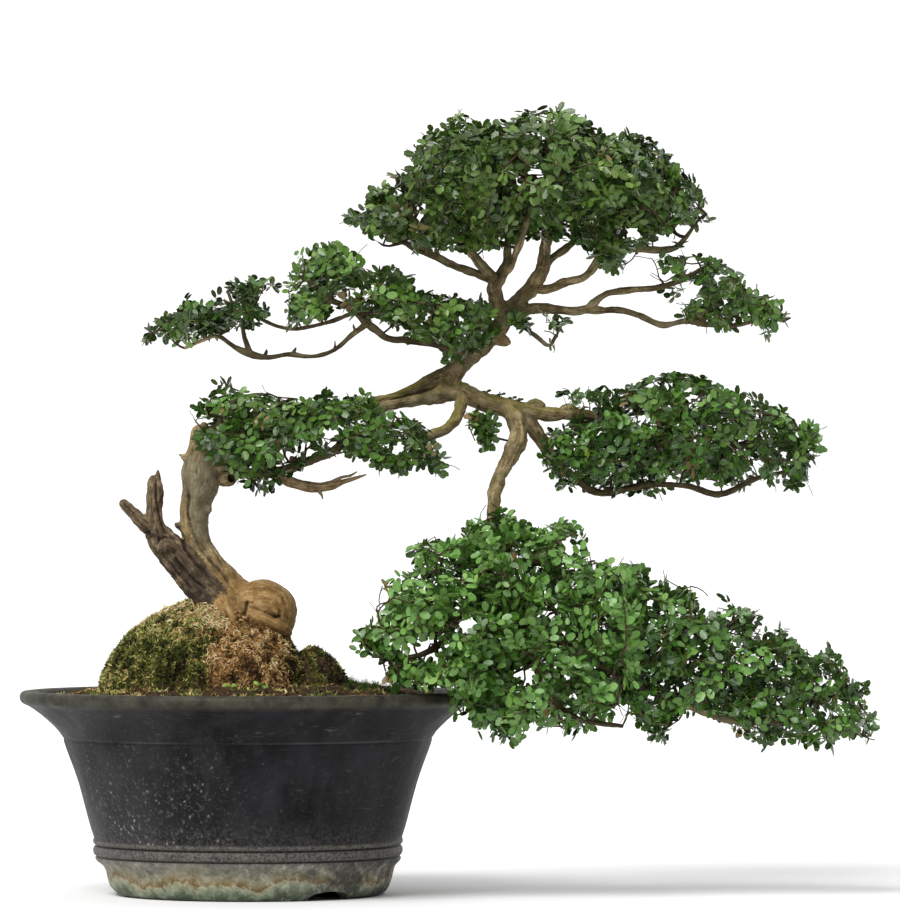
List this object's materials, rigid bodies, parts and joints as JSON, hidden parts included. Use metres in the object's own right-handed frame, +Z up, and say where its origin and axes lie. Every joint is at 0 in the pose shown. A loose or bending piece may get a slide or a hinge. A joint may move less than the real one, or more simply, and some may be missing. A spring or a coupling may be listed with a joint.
{
  "type": "chinese pepper bonsai in a round pot",
  "caption": "Cascading Chinese pepper bonsai: bent trunk with bare deadwood on a mossy mound, flat pads of small pinnate leaves, in a round flared dark pot.",
  "frame": {"origin": "on the surface that the pot stands on, under the middle of the whole plant and pot; the pot's own axis is 173 mm to the left of it, at x = -0.173 m", "axes": "+Z up, +X to the right as the tree leans and cascades, -Y towards the viewer"},
  "size_m": [0.747, 0.4, 0.6945],
  "materials": {
    "pot": "satin",
    "screen": "matte",
    "soil": "matte",
    "wood": "matte",
    "leaves": "satin"
  },
  "bodies": {
    "root": {"pot": "pot", "drain_screen": "screen", "soil": "soil", "wood": "wood", "crown_left_leaves": "leaves", "crown_top_leaves": "leaves", "crown_right_leaves": "leaves", "upper_shelf_leaves": "leaves", "drooping_spray": "leaves", "right_shelf_leaves": "leaves", "cascade_left_leaves": "leaves", "cascade_middle_leaves": "leaves", "cascade_right_leaves": "leaves", "far_left_leaves": "leaves", "left_arm_leaves": "leaves", "low_shelf_leaves": "leaves", "hanging_spray": "leaves"}
  },
  "joints": []
}
